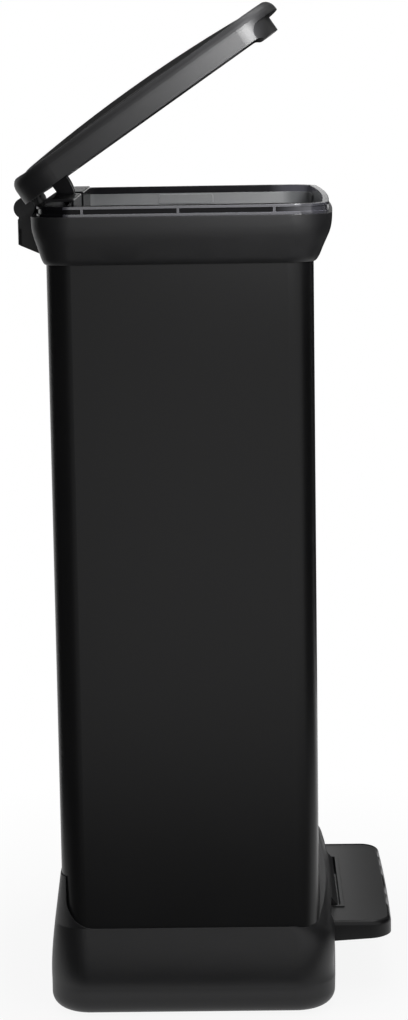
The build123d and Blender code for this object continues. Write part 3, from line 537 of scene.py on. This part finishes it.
def finish(name, colour, roughness, specular, cloudy, rubbed, edge, worn, relief):
    """A material on the common plan. cloudy is (size, colour share, roughness share).

    edge is the softened edges' radius in millimetres, and worn how much lighter those edges are.
    """
    cloud_size, cloud_colour, cloud_roughness = cloudy
    material = bpy.data.materials.new(name)
    material.use_nodes = True
    tree = material.node_tree
    shader = tree.nodes["Principled BSDF"]
    shader.inputs["Specular IOR Level"].default_value = specular

    cloud = place_group(tree, clouds, {"Size": cloud_size}).outputs["Value"]
    streaks = place_group(tree, rubs, {"Amount": rubbed}).outputs["Mask"]
    soft = place_group(tree, edges, {"Radius": edge})

    lighter = sum_of(tree, "ADD", sum_of(tree, "MULTIPLY", cloud, cloud_colour), 1.0)
    lighter = sum_of(tree, "ADD", lighter, sum_of(tree, "MULTIPLY", streaks, streak_lightens))
    lighter = sum_of(tree, "ADD", lighter, sum_of(tree, "MULTIPLY", soft.outputs["Mask"], worn))
    tint = add_node(tree, "ShaderNodeCombineColor")
    for channel, value in zip(("Red", "Green", "Blue"), colour):
        tree.links.new(sum_of(tree, "MULTIPLY", lighter, value), tint.inputs[channel])
    tree.links.new(tint.outputs["Color"], shader.inputs["Base Color"])

    rougher = sum_of(tree, "ADD", sum_of(tree, "MULTIPLY", cloud, cloud_roughness), roughness)
    streaky = sum_of(tree, "MULTIPLY", streaks, streak_roughens)
    rougher = sum_of(tree, "ADD", rougher, streaky, clamp=True)
    tree.links.new(rougher, shader.inputs["Roughness"])

    height, depth = relief(tree)
    bump = add_node(
        tree,
        "ShaderNodeBump",
        None,
        {"Strength": 1.0, "Distance": depth * MM, "Height": height},
    )
    tree.links.new(soft.outputs["Normal"], bump.inputs["Normal"])
    tree.links.new(bump.outputs["Normal"], shader.inputs["Normal"])
    return material


def grainy(size, depth):
    """Relief of a moulding: the grain's size and depth in millimetres."""

    def relief(tree):
        return place_group(tree, grain, {"Size": size}).outputs["Height"], depth

    return relief


finishes = {}

# %% [markdown]
# ### Black mouldings
#
# The base, the collar, the hinge housing and the lid's frame are moulded in black polypropylene
# with an etched grain. The plastic is not quite black and its gloss is low, so that it shows a
# broad, soft light. The rim ring, the guard and the lid's lever come from polished cavities: the
# same plastic, with hardly any grain and a much clearer gloss.

# %% Finish the black mouldings
finishes["textured_black"] = finish(
    "textured_black",
    colour=(0.014, 0.014, 0.015),
    roughness=0.46,
    specular=0.42,
    cloudy=(45.0, 0.5, 0.12),
    rubbed=0.35,
    edge=0.8,
    worn=3.0,
    relief=grainy(0.9, 0.035),
)
finishes["gloss_black"] = finish(
    "gloss_black",
    colour=(0.006, 0.006, 0.007),
    roughness=0.2,
    specular=0.14,
    cloudy=(30.0, 0.3, 0.1),
    rubbed=0.5,
    edge=0.5,
    worn=6.0,
    relief=grainy(1.6, 0.004),
)

# %% [markdown]
# ### The rim ring
#
# The ring is the polished black plastic too. Its two beads and the ribs between them are what the
# lid and the bag rub against, and they are buffed to a harder shine, and so is the whole front of
# the ring, where bags are pulled out. The same places are also painted paler than the groove, up
# to thirteen times: a painted highlight, standing for the bright lines that light draws along
# them. Both differences follow one mask, made from the place on the ring: the beads and ribs by
# how far out they stand, and the front by its distance from the front edge. The shine is a coat,
# whose weight is the mask.

# %% Finish the rim ring
ring_low, ring_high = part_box("rim_ring")
rib_face = ring_high.x - 0.6 * MM
front_start = ring_low.y + 50 * MM
front_full = ring_low.y + 20 * MM
# The painted highlight on the front of the ring, as a share of the one on the beads and ribs.
front_highlight_share = 0.7
painted_highlight_gain = 12.0

finishes["ring_black"] = finish(
    "ring_black",
    colour=(0.006, 0.006, 0.007),
    roughness=0.2,
    specular=0.12,
    cloudy=(30.0, 0.3, 0.1),
    rubbed=0.5,
    edge=0.4,
    worn=4.0,
    relief=grainy(1.6, 0.004),
)
ring_tree = finishes["ring_black"].node_tree
ring_shader = ring_tree.nodes["Principled BSDF"]
ring_place = add_node(ring_tree, "ShaderNodeTexCoord").outputs["Object"]
ring_axes = add_node(ring_tree, "ShaderNodeSeparateXYZ", None, {"Vector": ring_place})
across = sum_of(ring_tree, "ABSOLUTE", ring_axes.outputs["X"], 0)
highlight_and_coat_mask = sum_of(ring_tree, "GREATER_THAN", across, rib_face)
front_highlight_mask = add_node(
    ring_tree,
    "ShaderNodeMapRange",
    None,
    {
        "Value": ring_axes.outputs["Y"],
        "From Min": front_start,
        "From Max": front_full,
        "To Min": 0.0,
        "To Max": front_highlight_share,
    },
)
highlight_and_coat_mask = sum_of(ring_tree, "MAXIMUM", highlight_and_coat_mask, front_highlight_mask.outputs["Result"])
# Painted highlight: the beads, ribs and front are painted paler by this factor.
painted_highlight_factor = sum_of(ring_tree, "ADD", sum_of(ring_tree, "MULTIPLY", highlight_and_coat_mask, painted_highlight_gain), 1.0)
ring_tint = ring_shader.inputs["Base Color"].links[0].from_socket
painted_highlight_tint = add_node(
    ring_tree, "ShaderNodeVectorMath", {"operation": "SCALE"}, {0: ring_tint, "Scale": painted_highlight_factor}
)
ring_tree.links.new(painted_highlight_tint.outputs["Vector"], ring_shader.inputs["Base Color"])
ring_tree.links.new(highlight_and_coat_mask, ring_shader.inputs["Coat Weight"])
ring_shader.inputs["Coat Roughness"].default_value = 0.14
ring_shader.inputs["Coat IOR"].default_value = 1.9

# %% [markdown]
# ### Coated sheet steel
#
# The body, the lid's panel and the tread are sheet steel with a satin black powder coat. Powder
# melts into a skin that is never quite flat, and the gentle waves that it leaves are called orange
# peel. They are a few millimetres wide and only some hundredths deep. Grain would be wrong here,
# so this finish has its own relief: one slow noise.

# %% Finish the coated steel


def orange_peel(size, depth):
    """Relief of a powder coat: the width and depth of its waves in millimetres."""

    def relief(tree):
        coordinates = add_node(tree, "ShaderNodeTexCoord").outputs["Object"]
        waves = add_node(
            tree,
            "ShaderNodeTexNoise",
            None,
            {"Vector": coordinates, "Scale": 1 / (size * MM), "Detail": 1.5},
        )
        return waves.outputs["Fac"], depth

    return relief


finishes["satin_black_steel"] = finish(
    "satin_black_steel",
    colour=(0.010, 0.010, 0.0105),
    roughness=0.36,
    specular=0.28,
    cloudy=(90.0, 0.3, 0.06),
    rubbed=0.25,
    edge=0.5,
    worn=2.0,
    relief=orange_peel(2.6, 0.012),
)

# %% [markdown]
# ### Grey, white and rubber pieces
#
# The strips that hold the bag are an unpainted grey plastic, smooth and a little cloudy. The rod's
# cap and guides are white bearing nylon, which looks waxy. The pads under the base and the buffers
# under the lid are black rubber, rough and dusty.

# %% Finish the small mouldings
finishes["grey_plastic"] = finish(
    "grey_plastic",
    colour=(0.085, 0.087, 0.09),
    roughness=0.42,
    specular=0.45,
    cloudy=(25.0, 0.25, 0.12),
    rubbed=0.8,
    edge=0.4,
    worn=2.5,
    relief=grainy(0.6, 0.006),
)
finishes["white_nylon"] = finish(
    "white_nylon",
    colour=(0.74, 0.74, 0.70),
    roughness=0.34,
    specular=0.5,
    cloudy=(12.0, 0.08, 0.1),
    rubbed=0.6,
    edge=0.4,
    worn=0.1,
    relief=grainy(0.8, 0.006),
)
nylon_shader = finishes["white_nylon"].node_tree.nodes["Principled BSDF"]
nylon_shader.inputs["Subsurface Weight"].default_value = 0.1
finishes["rubber"] = finish(
    "rubber",
    colour=(0.022, 0.022, 0.021),
    roughness=0.78,
    specular=0.3,
    cloudy=(8.0, 0.6, 0.15),
    rubbed=0.6,
    edge=0.4,
    worn=1.0,
    relief=grainy(0.5, 0.03),
)

# %% [markdown]
# ### Plated and bright steel
#
# The lever, the rod and its channel are zinc plated. Zinc grows in crystals, and the faint patches
# that differ in shine are called spangle. Cells of a Voronoi texture, each with its own random
# value, give them. The pins, clips, rivets and screws are plain bright steel, drawn or turned, so
# they carry fine lines along their length instead.

# %% Finish the metals
crystals_per_metre = 160.0
line_stretch = (40, 3000, 3000)


def spangle(tree):
    """Relief of zinc plating, which is nearly none: the edges of its crystals."""
    coordinates = add_node(tree, "ShaderNodeTexCoord").outputs["Object"]
    crystals = add_node(
        tree,
        "ShaderNodeTexVoronoi",
        None,
        {"Vector": coordinates, "Scale": crystals_per_metre},
    )
    shade = add_node(tree, "ShaderNodeSeparateColor", None, {"Color": crystals.outputs["Color"]})
    return shade.outputs["Red"], 0.004


def drawn_lines(tree):
    """Relief of drawn steel: fine lines across the bin, along its pins."""
    coordinates = add_node(tree, "ShaderNodeTexCoord").outputs["Object"]
    along = add_node(
        tree, "ShaderNodeMapping", None, {"Vector": coordinates, "Scale": line_stretch}
    )
    lines = add_node(
        tree, "ShaderNodeTexNoise", None, {"Vector": along.outputs["Vector"], "Scale": 1.0}
    )
    return lines.outputs["Fac"], 0.008


finishes["zinc_steel"] = finish(
    "zinc_steel",
    colour=(0.56, 0.57, 0.59),
    roughness=0.32,
    specular=0.5,
    cloudy=(7.0, 0.35, 0.3),
    rubbed=0.7,
    edge=0.4,
    worn=0.2,
    relief=spangle,
)
finishes["steel"] = finish(
    "steel",
    colour=(0.55, 0.55, 0.56),
    roughness=0.24,
    specular=0.5,
    cloudy=(5.0, 0.2, 0.2),
    rubbed=0.5,
    edge=0.3,
    worn=0.2,
    relief=drawn_lines,
)
for metal in ("zinc_steel", "steel"):
    finishes[metal].node_tree.nodes["Principled BSDF"].inputs["Metallic"].default_value = 1.0

# %% [markdown]
# ### Give every solid its finish
#
# The record that comes with the solid model says which finish each piece has. Only the rim ring
# gets one of its own. Only the material slots change here: the meshes are the frame, and stay as
# they are.

# %% Dress the solids
for part in frame["record"]["subparts"]:
    piece = frame["nodes"][part["node"]]
    piece.data.materials.clear()
    own_finish = "ring_black" if part["node"] == "rim_ring" else part["material_slot"]
    piece.data.materials.append(finishes[own_finish])

# %% [markdown]
# ## Screws
#
# The solid model stands plain discs where the screws are. A real pan head is domed, has a rounded
# rim and a cross recess for the driver. One head is modelled at the origin, pointing up, and then
# copied to every place, each copy with its own mesh.
#
# The head starts as a cylinder. In edit mode its top face is inset and raised for the dome, and
# the rim is bevelled. Two thin bars, taken away by Boolean modifiers, cut the cross.

# %% Model one screw head
head_radius = 3.6 * MM
head_height = 2.2 * MM
recess_width = 1.0 * MM
recess_length = 4.4 * MM
recess_depth = 1.3 * MM
dome_insets = (0.28, 0.3, 0.32)
dome_rise = 0.09 * head_height


def select_faces(piece, wanted):
    """Selects in edit mode the faces of a piece for which wanted(face) is true, and no others."""
    mesh = bmesh.from_edit_mesh(piece.data)
    bpy.ops.mesh.select_all(action="DESELECT")
    for face in mesh.faces:
        face.select_set(wanted(face))
    bmesh.update_edit_mesh(piece.data)


def apply_modifiers(piece):
    """Applies a piece's modifiers in their order."""
    clear_selection()
    bpy.context.view_layer.objects.active = piece
    piece.select_set(True)
    for name in [modifier.name for modifier in piece.modifiers]:
        bpy.ops.object.modifier_apply(modifier=name)


clear_selection()
bpy.ops.mesh.primitive_cylinder_add(
    vertices=32, radius=head_radius, depth=head_height, location=(0, 0, head_height / 2)
)
screw_head = bpy.context.active_object
screw_head.name = "screw_head"
bpy.ops.object.transform_apply(location=True, rotation=True, scale=True)
bpy.ops.object.mode_set(mode="EDIT")
bpy.ops.mesh.select_mode(type="FACE")
for share in dome_insets:
    select_faces(screw_head, lambda face: face.normal.z > 0.9 and len(face.verts) > 4)
    bpy.ops.mesh.inset(thickness=share * head_radius)
    bpy.ops.transform.translate(value=(0, 0, dome_rise * (1.28 - share)))
bpy.ops.object.mode_set(mode="OBJECT")
rim = screw_head.modifiers.new("rim", "BEVEL")
rim.width = 0.5 * MM
rim.segments = 3
rim.limit_method = "ANGLE"
rim.angle_limit = math.radians(50)
apply_modifiers(screw_head)

for turn in (0, 90):
    clear_selection()
    bpy.ops.mesh.primitive_cube_add(
        size=1,
        location=(0, 0, 1.3 * head_height),
        rotation=(0, 0, math.radians(turn)),
    )
    bar = bpy.context.active_object
    bar.scale = (recess_length, recess_width, 0.6 * head_height + 2 * recess_depth)
    cut = screw_head.modifiers.new("recess", "BOOLEAN")
    cut.operation = "DIFFERENCE"
    cut.object = bar
    apply_modifiers(screw_head)
    bpy.data.objects.remove(bar)
print("screw head:", len(screw_head.data.polygons), "faces")

# %% [markdown]
# The places of the screws are read off the solid model. One node holds several screws, so its mesh
# is taken apart into its loose solids, and the middle of each one's box is a screw's place. The
# hinge screws look to the rear and the channel's look up. The liner's look down when the lid is
# shut, and the lid stands open here, so their direction is turned with it, by the angle that the
# joint's range gives.

# %% Set the screws


def solid_middles(node):
    """The middle of each loose solid of a CAD node."""
    mesh = bmesh.new()
    mesh.from_mesh(frame["nodes"][node].data)
    bmesh.ops.remove_doubles(mesh, verts=mesh.verts, dist=0.01 * MM)
    waiting = set(mesh.verts)
    middles = []
    while waiting:
        reached = [waiting.pop()]
        for corner in reached:
            beside = {edge.other_vert(corner) for edge in corner.link_edges} & waiting
            waiting -= beside
            reached.extend(beside)
        low = Vector([min(corner.co[axis] for corner in reached) for axis in range(3)])
        high = Vector([max(corner.co[axis] for corner in reached) for axis in range(3)])
        middles.append((low + high) / 2)
    mesh.free()
    return middles


def set_screws(name, node, body, direction, sink, turns):
    """Stands a screw head on the middle of each solid of a node, and joins them to one piece."""
    upright = Vector(direction).normalized()
    aim = upright.to_track_quat("Z", "Y").to_matrix().to_4x4()
    copies = []
    for number, middle in enumerate(solid_middles(node)):
        copy = screw_head.copy()
        copy.data = screw_head.data.copy()
        bpy.context.scene.collection.objects.link(copy)
        turn = Matrix.Rotation(math.radians(turns[number % len(turns)]), 4, "Z")
        copy.data.transform(Matrix.Translation(middle - upright * sink) @ aim @ turn)
        copies.append(copy)
    clear_selection()
    for copy in copies:
        copy.select_set(True)
    bpy.context.view_layer.objects.active = copies[0]
    bpy.ops.object.join()
    piece = bpy.context.active_object
    piece.name = name
    bpy.ops.object.shade_smooth_by_angle(angle=math.radians(35))
    piece.data.materials.clear()
    piece.data.materials.append(finishes["steel"])
    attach(piece, body)
    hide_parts(node)
    print(name, "stands on", len(copies), "places")


joints = {joint["name"]: joint for joint in frame["record"]["behaviour"]["joints"]}
hinge = joints["lid_hinge"]
lid_opening = -hinge["range_deg"][0]
lid_turn = Matrix.Rotation(math.radians(lid_opening), 3, Vector(hinge["axis"]))

to_the_rear = (0, 1, 0)
upward = (0, 0, 1)
out_of_the_liner = lid_turn @ Vector((0, 0, -1))
for name, node, body, direction, sunk, turns in (
    ("hinge_screw_heads", "hinge_screws", "bin", to_the_rear, 0.5, (12, 57)),
    ("channel_screw_heads", "channel_screws", "bin", upward, 0.15, (30, 75)),
    ("liner_screw_heads", "liner_screws", "lid", out_of_the_liner, 0.6, (5, 40, 71)),
):
    set_screws(name, node, body, direction, sunk * head_height, turns)
bpy.data.objects.remove(screw_head)

# %% [markdown]
# ## The seam of the body
#
# The body is one sheet of steel, bent round and joined at the back. The join is a lock seam: the
# two edges are folded into each other and pressed flat, which leaves a band about a centimetre
# wide that stands a little proud, with a groove where the fold ends. The band starts as a plane,
# is cut along its length by bisecting, and is raised and grooved by extruding.

# %% Fold the seam
seam_width = 9 * MM
seam_rise = 0.8 * MM
groove_width = 0.9 * MM
groove_depth = 0.45 * MM
groove_side = 0.2 * seam_width
seam_sunk = 0.1 * MM
body_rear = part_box("body_shell")[1].y
seam_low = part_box("base")[1].z + 1 * MM
seam_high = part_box("collar")[0].z - 1 * MM

clear_selection()
bpy.ops.mesh.primitive_plane_add(size=1, rotation=(math.radians(-90), 0, 0))
seam = bpy.context.active_object
seam.name = "body_seam"
seam.location = (0, body_rear - seam_sunk, (seam_low + seam_high) / 2)
seam.scale = (seam_width, seam_high - seam_low, 1)
bpy.ops.object.transform_apply(location=True, rotation=True, scale=True)
bpy.ops.object.mode_set(mode="EDIT")
bpy.ops.mesh.select_mode(type="FACE")
bpy.ops.mesh.select_all(action="SELECT")
bpy.ops.mesh.extrude_region_move(TRANSFORM_OT_translate={"value": (0, seam_rise, 0)})
for groove_edge in (groove_side, groove_side + groove_width):
    bpy.ops.mesh.select_all(action="SELECT")
    bpy.ops.mesh.bisect(plane_co=(groove_edge, 0, 0), plane_no=(1, 0, 0))
outer_face = body_rear - seam_sunk + seam_rise
select_faces(
    seam,
    lambda face: face.calc_center_median().y > outer_face - 0.01 * MM
    and groove_side < face.calc_center_median().x < groove_side + groove_width,
)
bpy.ops.mesh.extrude_region_move(TRANSFORM_OT_translate={"value": (0, -groove_depth, 0)})
bpy.ops.mesh.select_all(action="SELECT")
bpy.ops.mesh.normals_make_consistent(inside=False)
bpy.ops.object.mode_set(mode="OBJECT")
folds = seam.modifiers.new("folds", "BEVEL")
folds.width = 0.3 * MM
folds.segments = 2
folds.limit_method = "ANGLE"
apply_modifiers(seam)
bpy.ops.object.shade_smooth_by_angle(angle=math.radians(35))
seam.data.materials.append(finishes["satin_black_steel"])
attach(seam, "bin")
print("seam", round((seam_high - seam_low) / MM), "mm long")

# %% [markdown]
# ## Check the size
#
# Nothing that was added may stand outside the solid model. The box of everything now shown is
# measured and set against the solid model's, and how much it has grown is printed.

# %% Compare the boxes
seen_low, seen_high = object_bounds()
grown = (seen_high - seen_low) - (cad_high - cad_low)
print("grown by", [round(length / MM, 2) for length in grown], "mm")
